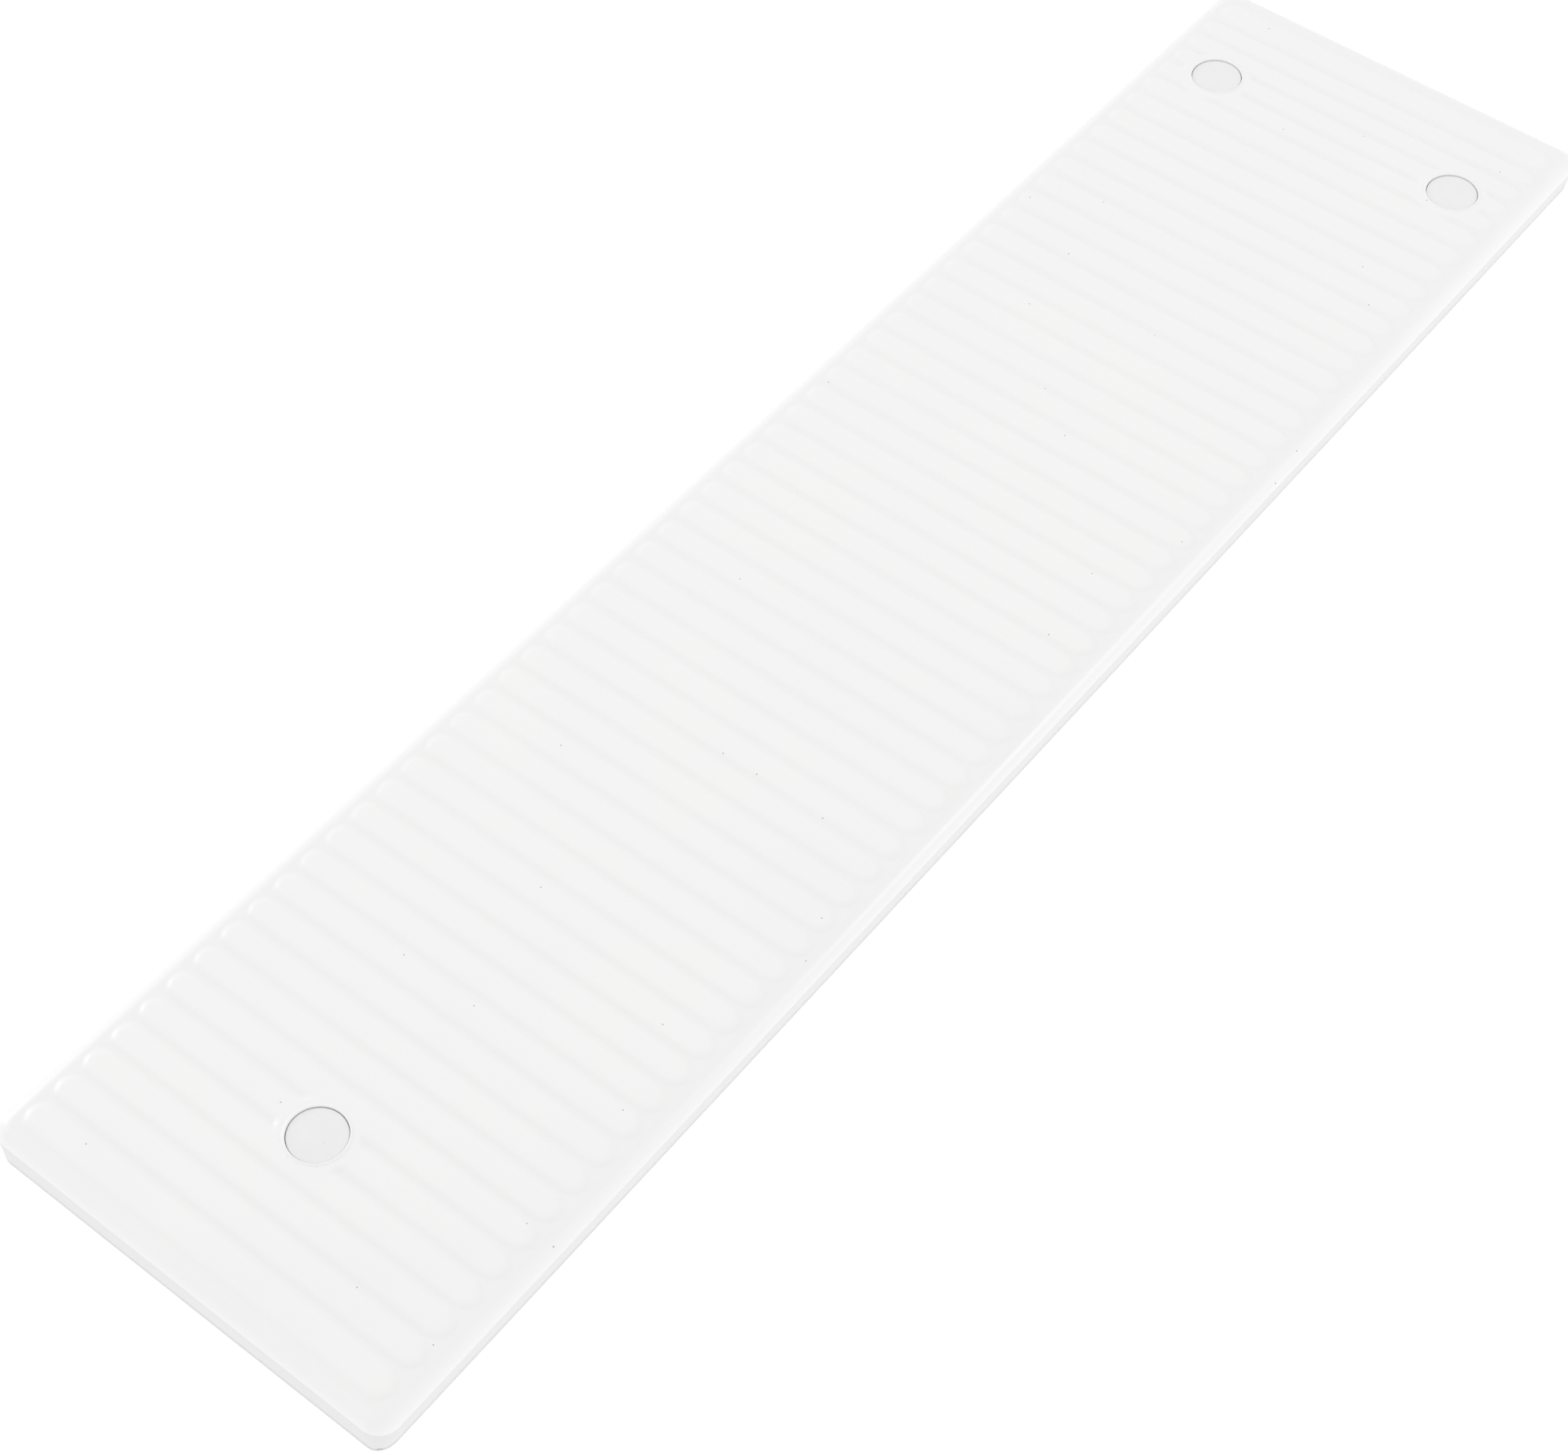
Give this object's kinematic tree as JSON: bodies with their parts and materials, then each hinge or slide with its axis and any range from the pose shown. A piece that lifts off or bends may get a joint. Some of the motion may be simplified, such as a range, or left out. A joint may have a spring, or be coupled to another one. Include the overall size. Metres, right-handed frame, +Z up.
{
  "type": "diving board",
  "caption": "Straight white diving board with a cross-ribbed tread, curved shoulders and lift-off round bolt covers at both ends; bolts down to a stand through its ends.",
  "frame": {"origin": "middle of the flat underside of the base pan, where it faces the stand", "axes": "+X along the board to its two-bolt tail end, +Y to its left edge, +Z up out of the tread"},
  "size_m": [1.828, 0.44, 0.1074],
  "materials": {
    "tread_acrylic": "satin white moulded acrylic",
    "base_acrylic": "white gelcoat, plain",
    "cover_plastic": "light grey moulded plastic, fine satin",
    "sealant": "grey polyurethane bead",
    "fibreglass": "cured fibreglass mat",
    "stringer_wood": "planed softwood",
    "block_wood": "planed hardwood",
    "rubber": "black neoprene",
    "stainless_steel": "plain stainless steel"
  },
  "bodies": {
    "board": {"tread_shell": "tread_acrylic", "base_pan": "base_acrylic", "edge_seal": "sealant", "upper_laminate": "fibreglass", "lower_laminate": "fibreglass", "left_edge_stringer": "stringer_wood", "left_outer_stringer": "stringer_wood", "left_inner_stringer": "stringer_wood", "centre_stringer": "stringer_wood", "right_inner_stringer": "stringer_wood", "right_outer_stringer": "stringer_wood", "right_edge_stringer": "stringer_wood", "nose_bolt_block": "block_wood", "tail_bolt_block": "block_wood", "nose_sleeve": "stainless_steel", "left_tail_sleeve": "stainless_steel", "right_tail_sleeve": "stainless_steel", "nose_seal_washer": "rubber", "left_tail_seal_washer": "rubber", "right_tail_seal_washer": "rubber", "nose_washer": "stainless_steel", "left_tail_washer": "stainless_steel", "right_tail_washer": "stainless_steel", "nose_bolt": "stainless_steel", "left_tail_bolt": "stainless_steel", "right_tail_bolt": "stainless_steel", "nose_pad": "rubber", "left_tail_pad": "rubber", "right_tail_pad": "rubber"},
    "nose_cover": {"nose_cover": "cover_plastic"},
    "left_tail_cover": {"left_tail_cover": "cover_plastic"},
    "right_tail_cover": {"right_tail_cover": "cover_plastic"}
  },
  "joints": [
    {"name": "nose_cover_lift", "type": "slide", "parent": "board", "child": "nose_cover", "axis": [0, 0, 1], "range_m": [0, 0.03]},
    {"name": "left_tail_cover_lift", "type": "slide", "parent": "board", "child": "left_tail_cover", "axis": [0, 0, 1], "range_m": [0, 0.03]},
    {"name": "right_tail_cover_lift", "type": "slide", "parent": "board", "child": "right_tail_cover", "axis": [0, 0, 1], "range_m": [0, 0.03]}
  ]
}
